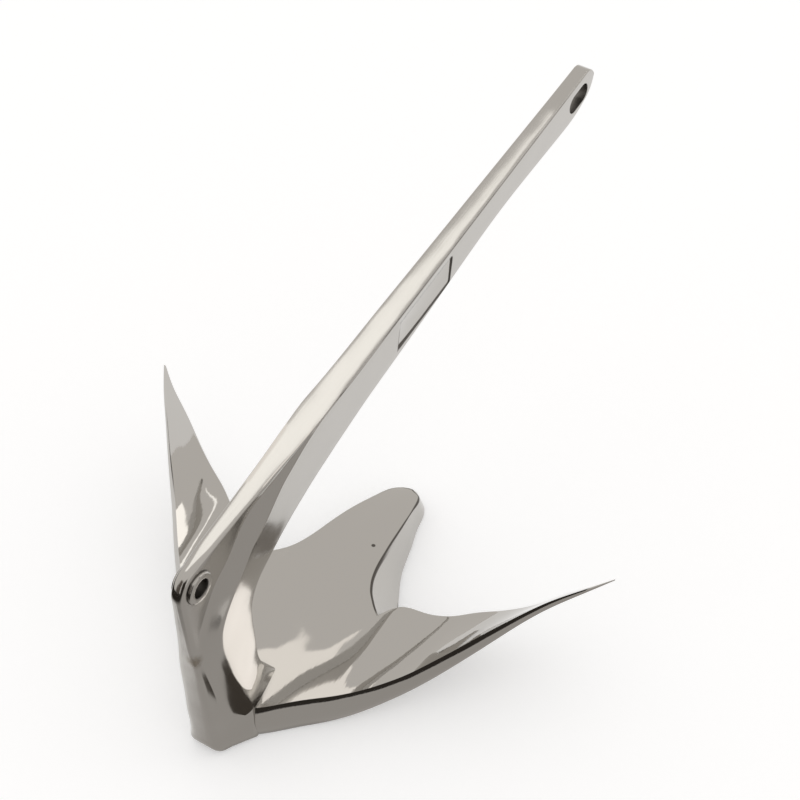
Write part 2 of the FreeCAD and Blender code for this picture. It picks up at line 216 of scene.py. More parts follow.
# Where the masks fade, from and to: satin shank and crown, the palm's painted dark reflection on its edge
# (its length and height with a fade), painted shade at the crown's foot. Facing is how far a face looks
# upward
SATIN_HEIGHT = (24.0, 34.0)
SATIN_REAR = (-138.0, -128.0)
SATIN_HALF = (11.0, 17.0)
EDGE_REFLECTION_WIDTH = (0.45, 0.95)
EDGE_REFLECTION_FACING = (0.3, 0.5)
EDGE_REFLECTION_LENGTH = (-74.0, 40.0, 3.0)
EDGE_REFLECTION_HEIGHT = (-5.0, 30.0, 5.0)
EDGE_REFLECTION_SIDE = (-2.0, 12.0)
FOOT_HEIGHT = (0.3, 5.0)
FOOT_REAR = (-100.0, -70.0)
FOOT_FACING = (0.3, 0.6)
CORNER_REACH = 0.005         # metres over which corners are searched for
CORNER_OPEN = (0.45, 0.82)
# Share of the painted shade in the eye, the slot, at the panel's walls and at the foot of the crown
EYE_SHADE = 0.8
SLOT_SHADE = 0.7
PANEL_SHADE = 0.8
FOOT_SHADE = 0.5

# Studio, in millimetres of the frame: light of the surroundings, colour of the floor and its lift to white
STUDIO_GREY = (0.80, 0.777, 0.748)
FLOOR_COLOUR = (0.89, 0.905, 0.93)
FLOOR_LIFT = 0.30
FLOOR_HALF = 6000.0
# Screens round the casting: turns about z from +X and climbs, in degrees, and light
SCREEN_RADIUS = 5000.0
SCREENS = [
    ((-46, -36), (24, 47), (1.90, 1.86, 1.80)),    # upright soft box on the right
    ((-70, -52), (20, 43), (0.10, 0.09, 0.08)),    # dark flag beside it
    ((-165, -115), (0, 44), (0.04, 0.035, 0.03)),  # dark curtain behind the camera
    ((152, 184), (0, 50), (0.14, 0.12, 0.105)),    # dim one to the left of the camera
]
# Level cards: height, outline and light. A long strip over the shank, two beige ones over the claw on
# both sides of it, and a dim one on the floor below the throat
CARDS = [
    (200, [(-160, 30), (-100, 24), (-60, 19), (0, 17), (60, 15), (130, 12), (155, 10), (155, 13),
           (125, 16), (60, 23), (0, 32), (-60, 39), (-160, 41)], (1.75, 1.73, 1.68)),
    (150, [(-110, 10), (-80, 10), (-66, 22), (-56, 30), (-44, 36), (-55, 40), (-62, 48), (-66, 64),
           (-110, 64)], (1.37, 1.32, 1.26)),
    (150, [(-110, -16), (-98, -16), (-88, -13), (-80, -8), (-74, -1), (-110, -1)], (1.37, 1.32, 1.26)),
    (3, [(-58, -36), (-44, -34), (-38, -50), (-38, -70), (-58, -70)], (0.22, 0.20, 0.18)),
]
# Low cards that show their light on the upper side alone: beige beside the crown, and dark at its foot as
# painted shade
LOW_CARDS = [
    (27, [(-144, -10), (-143, -26), (-132, -37), (-118, -41), (-100, -38), (-92, -30), (-96, -14),
          (-120, -8)], (1.45, 1.38, 1.31)),
    # Painted shade: dark card where the floor between the crown and the rim lies in shade
    (19, [(-157.5, -16), (-157.5, -30), (-155, -40), (-138, -42), (-128, -36), (-143, -18), (-150, -12)],
     (0.07, 0.06, 0.05)),
]
# Cloths on the floor: height, which way each lies, between which distances along that its edge fades in,
# and light. A dark one beyond the crown, and a grey one behind the right half of the rim
CLOTHS = [
    (2, (-0.9, 0.42), (190.0, 300.0), (0.03, 0.026, 0.022)),
    (1, (-0.62, -0.78), (92.0, 108.0), (0.50, 0.48, 0.46)),
]
CLOTH_REACH = 4000.0

# Camera: place in metres, its three axes, and its lens and sensor in millimetres
CAMERA_PLACE = (-0.59096, -0.3880, 0.83171)
CAMERA_RIGHT = (0.54019, -0.84149, -0.00954)
CAMERA_UP = (0.61492, 0.38696, 0.68712)
CAMERA_BACK = (-0.57452, -0.37704, 0.72648)
CAMERA_LENS = 96.75
CAMERA_SENSOR = 36.0


def natural_spline(knots, values, at):
    """Piecewise cubic through values at knots, with no bend at its ends.

    The bends m solve h0 m0 + 2 (h0 + h1) m1 + h1 m2 = 6 (slope after - slope before), and between
    two knots the value is a + b t + m0 t^2 / 2 + (m1 - m0) t^3 / 6h.
    """
    knots = np.asarray(knots, float)
    values = np.asarray(values, float)
    flat = values.reshape(len(knots), -1)
    h = np.diff(knots)
    slope = np.diff(flat, axis=0) / h[:, None]
    count = len(knots)
    inner = np.arange(1, count - 1)
    system = np.eye(count)
    system[inner, inner - 1] = h[:-1]
    system[inner, inner] = 2 * (h[:-1] + h[1:])
    system[inner, inner + 1] = h[1:]
    right = np.zeros_like(flat)
    right[1:-1] = 6 * (slope[1:] - slope[:-1])
    bend = np.linalg.solve(system, right)
    at = np.asarray(at, float)
    k = np.clip(np.searchsorted(knots, at) - 1, 0, count - 2)
    t = (at - knots[k])[..., None]
    step = h[k][..., None]
    start = slope[k] - step * (2 * bend[k] + bend[k + 1]) / 6
    result = flat[k] + start * t + bend[k] * t ** 2 / 2 + (bend[k + 1] - bend[k]) * t ** 3 / (6 * step)
    return result.reshape(at.shape + values.shape[1:])


def travel_along(points):
    """Distance along a row of points from its first."""
    steps = np.linalg.norm(np.diff(np.asarray(points, float), axis=0), axis=-1)
    return np.concatenate([[0.0], np.cumsum(steps)])


def left_of(vectors):
    """Vectors of the plane turned a quarter to the left, one long."""
    turned = np.stack([-vectors[..., 1], vectors[..., 0]], axis=-1)
    return turned / np.linalg.norm(vectors, axis=-1, keepdims=True)


def smooth_table(rows):
    """Natural spline through pairs of distance and value, mirrored at the middle plane."""
    table = np.array(rows, float)
    mirrored = table[table[:, 0] > 0][::-1] * [-1, 1]
    full = np.vstack([mirrored, table])
    return lambda d: natural_spline(full[:, 0], full[:, 1], np.abs(d))


rim_top = smooth_table(RIM_TOP)
rim_low = smooth_table(RIM_LOW)
rim_x = smooth_table(RIM_X)
top_slope = smooth_table(TOP_SLOPE)
low_slope = smooth_table(LOW_SLOPE)


def palm_share(y):
    """One in the middle of the claw, falling as a cosine to nothing at the horns."""
    t = np.clip((np.abs(y) - PALM_HALF) / (PALM_FADE - PALM_HALF), 0, 1)
    return 0.5 + 0.5 * np.cos(np.pi * t)


def top_height(x, y):
    """Upper face: height of the rim, plus slope times distance from the rim, less the palm's bend.

    The bend is a factor times the square of the distance past its start, times palm_share().
    """
    bend = np.maximum(0, x - PALM_BEND_START) ** 2 * PALM_BEND_TOP * palm_share(y)
    return rim_top(y) + top_slope(y) * (x - rim_x(y)) - bend


def low_height(x, y):
    """Lower face, by the same rule."""
    bend = np.maximum(0, x - PALM_BEND_START) ** 2 * PALM_BEND_LOW * palm_share(y)
    return rim_low(y) + low_slope(y) * (x - rim_x(y)) - bend


def rise(station, depth):
    """Point (x, z) given along the back of the shank and at right angles below it."""
    station = np.asarray(station, float)
    depth = np.asarray(depth, float)
    x = station * math.cos(SHANK_RISE) + depth * math.sin(SHANK_RISE)
    z = CORNER_HEIGHT + station * math.sin(SHANK_RISE) - depth * math.cos(SHANK_RISE)
    return np.stack([x, z], axis=-1)


def nose(point):
    """Point (x, z) of the rounded nose, given from its end."""
    back, depth = point
    return rise(SHANK_LENGTH - back, depth)


def shank_half(station):
    """Half the thickness of the shank, falling evenly from root to nose."""
    return ROOT_HALF + THINNING * (station - ROOT_STATION)


def arc_through(start, middle, end, count):
    """Circle arc through three points of the plane, count points long."""
    a, b, c = (np.asarray(p, float) for p in (start, middle, end))
    rows = 2 * np.array([b - a, c - a])
    centre = np.linalg.solve(rows, [b @ b - a @ a, c @ c - a @ a])
    turn = np.unwrap([math.atan2(*(p - centre)[::-1]) for p in (a, b, c)])
    angle = np.linspace(turn[0], turn[2], count)
    radius = np.linalg.norm(a - centre)
    return centre + radius * np.stack([np.cos(angle), np.sin(angle)], axis=-1)


def spline_path(points, count):
    """Natural spline through points of the plane, over the distance along them."""
    points = np.array(points, float)
    travel = travel_along(points)
    return natural_spline(travel, points, np.linspace(0, travel[-1], count))


def on_path(path, at):
    """Points of a finely divided path at given distances along it."""
    travel = travel_along(path)
    return np.stack([np.interp(at, travel, path[:, k]) for k in range(2)], axis=-1)


def crossings(path, starts, ends):
    """Where straight lines from starts to ends first cross a path.

    Gives the share of each line at its crossing and the distance along the path.
    """
    steps = np.diff(path, axis=0)
    lines = (ends - starts)[:, None]
    gaps = path[:-1][None] - starts[:, None]
    across = lines[..., 0] * steps[:, 1] - lines[..., 1] * steps[:, 0]
    across = np.where(np.abs(across) < 1e-12, 1e-12, across)
    share = (gaps[..., 0] * steps[:, 1] - gaps[..., 1] * steps[:, 0]) / across
    place = (gaps[..., 0] * lines[..., 1] - gaps[..., 1] * lines[..., 0]) / across
    good = (share >= 0) & (share <= 1) & (place >= 0) & (place < 1)
    pick = good.argmax(axis=1)
    row = np.arange(len(starts))
    travel = travel_along(path)
    return share[row, pick], travel[pick] + place[row, pick] * np.diff(travel)[pick]


def rounded_loops(corners, radii, arc_steps, side_steps):
    """Closed loops with rounded corners, one for each row of corners.

    Each corner becomes a quadratic Bezier curve that leaves its two sides radius / tan(half the
    corner's angle) away from it, at most 0.45 of a side. The sides between are straight.
    """
    before = np.roll(corners, 1, axis=1) - corners
    after = np.roll(corners, -1, axis=1) - corners
    reach_before = np.linalg.norm(before, axis=-1)
    reach_after = np.linalg.norm(after, axis=-1)
    unit_before = before / reach_before[..., None]
    unit_after = after / reach_after[..., None]
    cosine = np.clip((unit_before * unit_after).sum(-1), -0.9999, 0.9999)
    half_angle = np.arccos(cosine) / 2
    cut = radii / np.tan(half_angle)
    cut = np.minimum(cut, 0.45 * np.minimum(reach_before, reach_after))[..., None]
    enter = corners + unit_before * cut
    leave = corners + unit_after * cut
    t = np.linspace(0, 1, arc_steps + 1)[:, None]
    bends = ((1 - t) ** 2 * enter[:, :, None] + 2 * t * (1 - t) * corners[:, :, None]
             + t ** 2 * leave[:, :, None])
    following = np.roll(enter, -1, axis=1)
    s = np.linspace(0, 1, side_steps + 1)[1:-1, None]
    sides = (1 - s) * leave[:, :, None] + s * following[:, :, None]
    rows = np.concatenate([bends, sides], axis=2)
    return rows.reshape(len(corners), -1, corners.shape[-1])


def loop_shell(loops):
    """Points and faces of the closed shell over a row of closed loops, with flat ends."""
    rows, columns = loops.shape[:2]
    index = np.arange(rows * columns).reshape(rows, columns)
    after = np.roll(index, -1, axis=1)
    quads = np.stack([index[:-1], after[:-1], after[1:], index[1:]], axis=-1).reshape(-1, 4)
    faces = [*quads.tolist(), index[0][::-1].tolist(), index[-1].tolist()]
    return loops.reshape(-1, 3), faces


def add_object(name, data):
    """New object in the scene."""
    thing = bpy.data.objects.new(name, data)
    bpy.context.scene.collection.objects.link(thing)
    return thing


def place_mesh(name, points, faces):
    """New object with its mesh placed in the frame, in metres, doubles merged and faces turned outward."""
    mesh = bpy.data.meshes.new(name)
    mesh.from_pydata(((points + SHIFT) / 1000).tolist(), [], faces)
    mesh.validate()
    work = bmesh.new()
    work.from_mesh(mesh)
    bmesh.ops.remove_doubles(work, verts=work.verts, dist=1e-7)
    bmesh.ops.dissolve_degenerate(work, dist=1e-8, edges=work.edges)
    bmesh.ops.recalc_face_normals(work, faces=work.faces)
    work.to_mesh(mesh)
    work.free()
    return add_object(name, mesh)


def front_outline():
    """Front outline of the claw from the left horn round the palm to the right horn, and its foot.

    Each part is a spline through its points, and the foot of the wall follows the same distances. The
    steps along a horn go 0.35 by a cosine and 0.65 evenly, so they are closer at both its ends.
    """
    inner_plan = np.array(INNER_EDGE)
    inner_travel = travel_along(inner_plan)
    palm_left = np.array(PALM_EDGE + [(PALM_TIP, 0.0)])
    foot_left = np.array(PALM_FOOT + [(PALM_TOE, 0.0)])
    mirror = np.array([1, -1])
    palm_plan = np.vstack([palm_left, palm_left[:-1][::-1] * mirror])
    palm_foot = np.vstack([foot_left, foot_left[:-1][::-1] * mirror])
    palm_travel = travel_along(palm_plan)
    even = np.linspace(0, 1, HORN_STEPS + 1)
    eased = 0.5 - 0.5 * np.cos(np.pi * even)
    inner_at = (0.35 * eased + 0.65 * even) * inner_travel[-1]
    palm_at = np.linspace(0, palm_travel[-1], PALM_STEPS + 1)
    inner = natural_spline(inner_travel, inner_plan, inner_at)
    inner_foot = natural_spline(inner_travel, np.array(INNER_FOOT), inner_at)
    palm = natural_spline(palm_travel, palm_plan, palm_at)
    foot = natural_spline(palm_travel, palm_foot, palm_at)
    edge = np.vstack([inner, palm[1:-1], inner[::-1] * mirror])
    low = np.vstack([inner_foot, foot[1:-1], inner_foot[::-1] * mirror])
    return edge, low


def wall_meets_ground(edge, foot, rounds=12):
    """Where the front walls, carried down from the edge past their foot, meet the lower face.

    A wall drops from the edge's height to FOOT_LEVEL on its way to the foot. The share of that way is
    the height to drop over the height of the wall, and repeating it settles on the lower face.
    """
    edge_z = top_height(edge[:, 0], edge[:, 1])
    drop = np.ones(len(edge))
    for _ in range(rounds):
        x, y = (edge + drop[:, None] * (foot - edge)).T
        drop = (edge_z - low_height(x, y)) / (edge_z - FOOT_LEVEL)
    return edge + drop[:, None] * (foot - edge)


def claw_loops():
    """Loops round the claw, one for each station of its front outline.

    A loop runs over the upper face from the rim to the front edge, down the leaning wall, back along
    the lower face, and up the rim, which is a cubic Bezier curve: it leaves the crease at the upper
    face at a low angle, swells rearward and turns in again at the foot.
    """
    edge, foot = front_outline()
    ground = wall_meets_ground(edge, foot)
    rim_y = edge[:, 1] * (RIM_X[-1][0] / INNER_EDGE[0][1])
    rim = np.stack([rim_x(rim_y), rim_y], axis=-1)
    thick = (rim_top(rim_y) - rim_low(rim_y))[:, None]
    inward = left_of(np.gradient(rim, axis=0))
    crease = rim + RIM_CREASE * thick * inward
    keel = rim + RIM_KEEL * thick * inward
    s = np.linspace(0, 1, FACE_ROWS)[None, :, None]
    over = crease[:, None] * (1 - s) + edge[:, None] * s
    under = ground[:, None] * (1 - s) + keel[:, None] * s
    upper = np.dstack([over, top_height(over[..., 0], over[..., 1])])
    lower = np.dstack([under, low_height(under[..., 0], under[..., 1])])
    high = upper[:, 0, 2]
    deep = lower[:, -1, 2]
    inner = [np.column_stack([rim - back * thick * inward, high - down * (high - deep)])
             for back, down in RIM_SWELL]
    return joined_loops(upper, lower, [lower[:, -1], *reversed(inner), upper[:, 0]])


def joined_loops(upper, lower, rim_controls):
    """Closed loops from the two long faces, the straight front wall and the curved rim.

    The front edges are trimmed by their rounding, at most 0.3 of the wall and 0.2 of the face, and a
    quadratic Bezier curve bridges each. The rim's cubic Bezier curve meets both faces at a crease.
    """
    front = np.linalg.norm(upper[:, -1] - lower[:, 0], axis=-1)
    length = np.linalg.norm(upper[:, -1] - upper[:, 0], axis=-1)
    most = np.minimum(0.3 * front, 0.2 * length)
    edge_cut = np.minimum(EDGE_ROUND, most)
    foot_cut = np.minimum(FOOT_ROUND, most)
    wall_down = (lower[:, 0] - upper[:, -1]) / front[:, None]
    wall_top = upper[:, -1] + wall_down * edge_cut[:, None]
    wall_foot = lower[:, 0] - wall_down * foot_cut[:, None]
    uncut = np.zeros(len(front))
    top = trimmed(upper, uncut, edge_cut)
    bottom = trimmed(lower, foot_cut, uncut)
    s = np.linspace(0, 1, WALL_ROWS)[None, :, None]
    wall = wall_top[:, None] * (1 - s) + wall_foot[:, None] * s
    t = np.linspace(0, 1, RIM_ROWS)[None, 1:-1, None]
    a, b, c, d = (point[:, None] for point in rim_controls)
    rim = (1 - t) ** 3 * a + 3 * t * (1 - t) ** 2 * b + 3 * t ** 2 * (1 - t) * c + t ** 3 * d
    return np.concatenate([top, bridge(top[:, -1], upper[:, -1], wall_top), wall,
                           bridge(wall_foot, lower[:, 0], bottom[:, 0]), bottom, rim], axis=1)


def trimmed(face, first, last):
    """Rows of the face shortened at both ends by the given lengths."""
    share = np.linspace(0, 1, face.shape[1])[None]
    span = np.linalg.norm(face[:, -1] - face[:, 0], axis=-1)
    start = (first / span)[:, None]
    stop = 1 - (last / span)[:, None]
    at = (start + (stop - start) * share) * (face.shape[1] - 1)
    k = np.clip(at.astype(int), 0, face.shape[1] - 2)
    t = (at - k)[..., None]
    row = np.arange(len(face))[:, None]
    return face[row, k] * (1 - t) + face[row, k + 1] * t


def bridge(end, corner, begin):
    """Inner points of the quadratic Bezier curve that rounds a corner."""
    t = np.linspace(0, 1, ROUND_STEPS + 1)[None, 1:-1, None]
    return (1 - t) ** 2 * end[:, None] + 2 * t * (1 - t) * corner[:, None] + t ** 2 * begin[:, None]


def side_paths():
    """Back and front outline of crown and shank in the middle plane, from the floor to the nose.

    The back is an arc at the heel, straight to the arc round the trip eye, and straight along the
    shank to the arc of the nose. The front is a spline up the throat and one along the shank.
    """
    eye = rise(TRIP_STATION, TRIP_FROM_BACK)
    corner = TRIP_FROM_BACK * math.sqrt(0.5)
    back = np.vstack([
        arc_through(SOLE[0], HEEL_MID, HEEL_BACK, HEEL_POINTS),
        arc_through(eye + [-TRIP_FROM_BACK, -LOBE_DROP], eye + [-corner, corner], rise(TRIP_STATION, 0.0),
                    CORNER_POINTS),
        arc_through(nose(NOSE_TOP), nose(NOSE_UPPER), nose(NOSE_END), NOSE_POINTS),
    ])
    root = rise(ROOT_STATION, ROOT_DEPTH)
    throat = spline_path([*THROAT, root], THROAT_POINTS)
    under = spline_path([root, *(rise(*point) for point in UNDERSIDE), nose(NOSE_LOW)], UNDERSIDE_POINTS)
    low_nose = arc_through(nose(NOSE_LOW), nose(NOSE_LOWER), nose(NOSE_END), NOSE_POINTS)
    front = np.vstack([[SOLE[6]], throat, under[1:], low_nose[1:]])
    return back, front


def hook_sections():
    """Corners (x, z) and half thicknesses of the sections of crown and shank, for all four corners."""
    rows = list(CROWN_SECTIONS)
    for station, ahead, depth in SHANK_SECTIONS:
        half = shank_half(station)
        rows.append((rise(station, -BACK_SPARE), half - EDGE_BREAK,
                     rise(station, BAND_DEPTH), half - EDGE_BREAK / 2,
                     rise(station, EDGE_BREAK), half,
                     rise(station + ahead, depth), half - FRONT_THINNER))
    corners = [np.array([row[k] for row in rows], float) for k in (0, 2, 4, 6)]
    halves = np.array([[row[k] for k in (1, 3, 5, 7)] for row in rows], float)
    return corners, halves


def seated(points, start, chord):
    """Share of the chord and offset from it at which each section's point lies.

    At the nose, which has no point of its own, the share stays as it was last and the offset is zero.
    """
    gap = points - start[:-1]
    reach = np.linalg.norm(chord[:-1], axis=-1)
    share = (gap * chord[:-1]).sum(-1) / reach ** 2
    offset = (gap * left_of(chord[:-1])).sum(-1)
    return np.append(share, share[-1]), np.append(offset, 0.0)


def beside(start, end, share, offset):
    """Points at a share of the lines from start to end and an offset to their left."""
    chord = end - start
    return start + share[:, None] * chord + offset[:, None] * left_of(chord)


def hook_loops():
    """Loops round crown and shank, one for each station from the floor to the nose.

    Back and front corners run on the side outlines. The band edge and the crest lie at a share of the
    line between them and an offset from it. All are splines over the mean distance along the sections.
    """
    back_path, front_path = side_paths()
    (back, band, crest, front), halves = hook_sections()
    share, back_at = crossings(back_path, back, band)
    halves[:, 0] += share * (halves[:, 1] - halves[:, 0])
    share, front_at = crossings(front_path, crest, front)
    halves[:, 3] = halves[:, 2] + share * (halves[:, 3] - halves[:, 2])
    halves = np.vstack([SOLE[1::2], halves, shank_half(SHANK_LENGTH) - np.array(NOSE_THINNER)])
    back_at = np.concatenate([[0.0], back_at, [travel_along(back_path)[-1] - NOSE_FLAT]])
    front_at = np.concatenate([[0.0], front_at, [travel_along(front_path)[-1] - NOSE_FLAT]])
    start = on_path(back_path, back_at)
    end = on_path(front_path, front_at)
    band_seat = seated(np.vstack([SOLE[2], band]), start, end - start)
    crest_seat = seated(np.vstack([SOLE[4], crest]), start, end - start)
    travel = (travel_along(start) + travel_along(end)) / 2
    fine = np.concatenate([np.linspace(0, HEEL_REACH, HEEL_ROWS),
                           np.linspace(HEEL_REACH, travel[-1], HOOK_ROWS)[1:]])
    columns = np.column_stack([back_at, front_at, *band_seat, *crest_seat, *halves.T])
    back_at, front_at, *seats = natural_spline(travel, columns, fine).T
    start = on_path(back_path, back_at)
    end = on_path(front_path, front_at)
    band = beside(start, end, *seats[:2])
    crest = beside(start, end, *seats[2:4])
    right = [np.stack([spot[:, 0], -half, spot[:, 1]], axis=-1)
             for spot, half in zip((start, band, crest, end), seats[4:])]
    left = [spots * [1, -1, 1] for spots in reversed(right)]
    radii = np.full((len(fine), 4), THROAT_ROUND)
    for corner, table in enumerate((BACK_ROUND, BAND_ROUND, CREST_ROUND)):
        radii[:, corner] = np.interp(fine, *np.array(table).T)
    loops = rounded_loops(np.stack(right + left, axis=1), np.hstack([radii, radii[:, ::-1]]),
                          ROUND_STEPS, ROUND_STEPS)
    return with_round_heel(loops)


def with_round_heel(loops):
    """The loops drawn in near the floor by what a quarter round of SOLE_ROUND takes off there."""
    above = np.clip(loops[..., 2] - SOLE[0][1], 0, SOLE_ROUND)
    inset = SOLE_ROUND - np.sqrt(SOLE_ROUND ** 2 - (SOLE_ROUND - above) ** 2)
    share = np.clip(np.abs(loops[..., 1]) / SOLE_FADE, 0, 1)
    loops[..., 1] -= np.sign(loops[..., 1]) * inset * share
    return loops


def lathe_y(centre, profile):
    """Loops of a round bar across the anchor: radius over y, carried round the axis."""
    angle = np.linspace(0, 2 * np.pi, HOLE_STEPS, endpoint=False)
    radius = profile[:, 1][:, None]
    x = centre[0] + radius * np.cos(angle)
    z = centre[1] + radius * np.sin(angle)
    y = np.repeat(profile[:, 0][:, None], HOLE_STEPS, axis=1)
    return np.stack([x, y, z], axis=-1)


def both_sides(right):
    """Profile of (y, radius) with its mirror image on the left."""
    return np.vstack([right[::-1] * [-1, 1], right])


def flared(half, radius, beyond=2.0):
    """Profile (y, radius) of a hole cutter whose mouths open with a quarter round."""
    turn = np.linspace(0, np.pi / 2, ROUND_STEPS + 1)
    y = half - HOLE_ROUND + HOLE_ROUND * np.sin(turn)
    r = radius + HOLE_ROUND - HOLE_ROUND * np.cos(turn)
    return both_sides(np.vstack([np.stack([y, r], axis=-1), [half + beyond, radius + HOLE_ROUND]]))


def boss_profile():
    """Profile of the round boss about the trip eye, with rounded rims."""
    turn = np.linspace(0, np.pi / 2, ROUND_STEPS + 1)
    y = BOSS_HALF - BOSS_ROUND + BOSS_ROUND * np.sin(turn)
    r = BOSS_RADIUS - BOSS_ROUND + BOSS_ROUND * np.cos(turn)
    return both_sides(np.stack([y, r], axis=-1))


def slot_loops():
    """Loops of the slot's cutter: a stadium in line with the shank, opening with quarter rounds."""
    turn = np.linspace(0, 2 * np.pi, HOLE_STEPS, endpoint=False)
    y, radius = flared(shank_half(SLOT_CENTRE), SLOT_WIDTH / 2).T[..., None]
    ahead = np.where(np.cos(turn) >= 0, SLOT_REACH, -SLOT_REACH)
    station = SLOT_CENTRE + ahead + radius * np.cos(turn)
    spot = rise(station, SLOT_DEPTH + radius * np.sin(turn))
    y = y * shank_half(station) / shank_half(SLOT_CENTRE)
    return np.stack([spot[..., 0], y, spot[..., 1]], axis=-1)


def panel_outline(grow):
    """Rounded parallelogram of the panel in station and depth, grown outward by a distance."""
    end = PANEL_START + PANEL_LENGTH
    low = PANEL_TOP + PANEL_HEIGHT
    corners = np.array([(PANEL_START, PANEL_TOP), (end, PANEL_TOP), (end - PANEL_SLANT, low),
                        (PANEL_START - PANEL_SLANT, low)])
    loop = rounded_loops(corners[None], np.full((1, 4), PANEL_CORNER), arc_steps=8, side_steps=6)[0]
    return loop - grow * left_of(np.roll(loop, -1, axis=0) - np.roll(loop, 1, axis=0))


def panel_loops():
    """Loops of the panel's cutter, from its floor out past the side, whose edge it rounds.

    Each is the outline grown by a distance, at a distance inward from the side of the shank.
    """
    rows = []
    for inward, grow in [(PANEL_DEPTH, -PANEL_FILLET), (PANEL_DEPTH - 0.1, -0.1),
                         (PANEL_DEPTH - PANEL_FILLET, 0.0), (0.22, 0.05), (0.08, 0.12), (-0.02, 0.28),
                         (-4.0, 0.3)]:
        station, depth = panel_outline(grow).T
        spot = rise(station, depth)
        rows.append(np.stack([spot[:, 0], inward - shank_half(station), spot[:, 1]], axis=-1))
    return np.stack(rows)


def join(body, how, name, loops):
    """The body with a shell over the loops added or cut away."""
    tool = place_mesh(name, *loop_shell(loops))
    change = body.modifiers.new(how, "BOOLEAN")
    change.operation = how
    change.object = tool
    change.solver = "EXACT"
    graph = bpy.context.evaluated_depsgraph_get()
    mesh = bpy.data.meshes.new_from_object(body.evaluated_get(graph))
    body.modifiers.clear()
    body.data = mesh
    bpy.data.objects.remove(tool)


def build_casting():
    """The casting, joined from claw, crown with shank, and boss, then pierced and sunk."""
    eye = rise(TRIP_STATION, TRIP_FROM_BACK)
    casting = place_mesh("polished_casting", *loop_shell(claw_loops()))
    join(casting, "UNION", "hook", hook_loops())
    join(casting, "UNION", "boss", lathe_y(eye, boss_profile()))
    join(casting, "DIFFERENCE", "eye", lathe_y(eye, flared(BOSS_HALF, TRIP_RADIUS)))
    join(casting, "DIFFERENCE", "slot", slot_loops())
    join(casting, "DIFFERENCE", "panel", panel_loops())
    mesh = casting.data
    mesh.polygons.foreach_set("use_smooth", np.ones(len(mesh.polygons), bool))
    mesh.set_sharp_from_angle(angle=SHARP_ANGLE)
    return casting


def feed(tree, entry, value):
    """Link a socket to a node's input, or set a plain value on it."""
    if isinstance(value, bpy.types.NodeSocket):
        tree.links.new(value, entry)
    else:
        entry.default_value = value


def add_node(tree, kind, inputs, **settings):
    """New shader node of a kind, with its settings made and its inputs fed by name or number."""
    node = tree.nodes.new("ShaderNode" + kind)
    for label, value in settings.items():
        setattr(node, label, value)
    for entry, value in inputs.items():
        feed(tree, node.inputs[entry], value)
    return node


def maths(tree, how, *values):
    """Math node of a kind, fed with sockets or numbers."""
    return add_node(tree, "Math", dict(enumerate(values)), operation=how).outputs[0]


def chained(tree, how, first, *others):
    """Math nodes of a kind that take in one value after the other."""
    for value in others:
        first = maths(tree, how, first, value)
    return first


def soft_step(tree, value, low, high):
    """Zero below low, one above high, smooth between."""
    return add_node(tree, "MapRange", {"Value": value, "From Min": low, "From Max": high},
                    interpolation_type="SMOOTHSTEP").outputs["Result"]


def soft_fall(tree, value, low, high):
    """One below low, zero above high, smooth between."""
    return maths(tree, "SUBTRACT", 1.0, soft_step(tree, value, low, high))


def between(tree, value, low, high, soft):
    """One between two numbers, falling smoothly to zero over soft outside them."""
    return maths(tree, "SUBTRACT", soft_step(tree, value, low - soft, low),
                 soft_step(tree, value, high, high + soft))


def near(tree, place, spot, inner, outer, ragged=0.0):
    """One within the inner distance of a spot, zero beyond the outer one, with ragged added to both."""
    gap = add_node(tree, "VectorMath", {0: place, 1: spot}, operation="DISTANCE").outputs["Value"]
    return soft_fall(tree, maths(tree, "ADD", gap, ragged), inner, outer)


def noise(tree, place, scale, detail):
    """Value of a noise texture over the given coordinates."""
    return add_node(tree, "TexNoise", {"Vector": place, "Scale": scale, "Detail": detail}).outputs["Fac"]


def combined(tree, x, y, z):
    """Vector of three sockets or numbers."""
    return add_node(tree, "CombineXYZ", {0: x, 1: y, 2: z}).outputs[0]


def tinted(tree, under, mask, colour):
    """The colour laid over another where the mask is one."""
    return add_node(tree, "Mix", {"Factor": mask, "A": under, "B": (*colour, 1)}, data_type="RGBA",
                    clamp_result=False).outputs["Result"]


def node_group(name, outputs):
    """New shader node group with the given outputs, and its output node."""
    group = bpy.data.node_groups.new(name, "ShaderNodeTree")
    for label, kind in outputs:
        group.interface.new_socket(label, in_out="OUTPUT", socket_type=kind)
    return group, group.nodes.new("NodeGroupOutput")


def millimetres(tree):
    """Object coordinates in millimetres: the vector and its three parts."""
    place = add_node(tree, "TexCoord", {})
    grow = add_node(tree, "VectorMath", {0: place.outputs["Object"], "Scale": 1000.0}, operation="SCALE")
    split = add_node(tree, "SeparateXYZ", {0: grow.outputs[0]})
    return grow.outputs[0], split.outputs


def along_shank(tree, x, z):
    """Station and rise over the back of the shank for a place on the casting."""
    ahead = maths(tree, "SUBTRACT", x, float(SHIFT[0]))
    above = maths(tree, "SUBTRACT", z, CORNER_HEIGHT + float(SHIFT[2]))
    cosine = math.cos(SHANK_RISE)
    sine = math.sin(SHANK_RISE)
    station = maths(tree, "ADD", maths(tree, "MULTIPLY", ahead, cosine),
                    maths(tree, "MULTIPLY", above, sine))
    over = maths(tree, "SUBTRACT", maths(tree, "MULTIPLY", above, cosine),
                 maths(tree, "MULTIPLY", ahead, sine))
    return station, over


def uprightness(tree):
    """How far a face looks upward: the height of its normal."""
    facing = add_node(tree, "NewGeometry", {})
    return add_node(tree, "SeparateXYZ", {0: facing.outputs["Normal"]}).outputs[2]


def satin_mask(tree, x, y, z):
    """Shank and crown, and the rear of the heel, but not the claw beside them."""
    high = soft_step(tree, z, *SATIN_HEIGHT)
    rear = soft_fall(tree, x, *SATIN_REAR)
    slim = soft_fall(tree, maths(tree, "ABSOLUTE", y), *SATIN_HALF)
    return maths(tree, "MULTIPLY", maths(tree, "MAXIMUM", high, rear), slim)


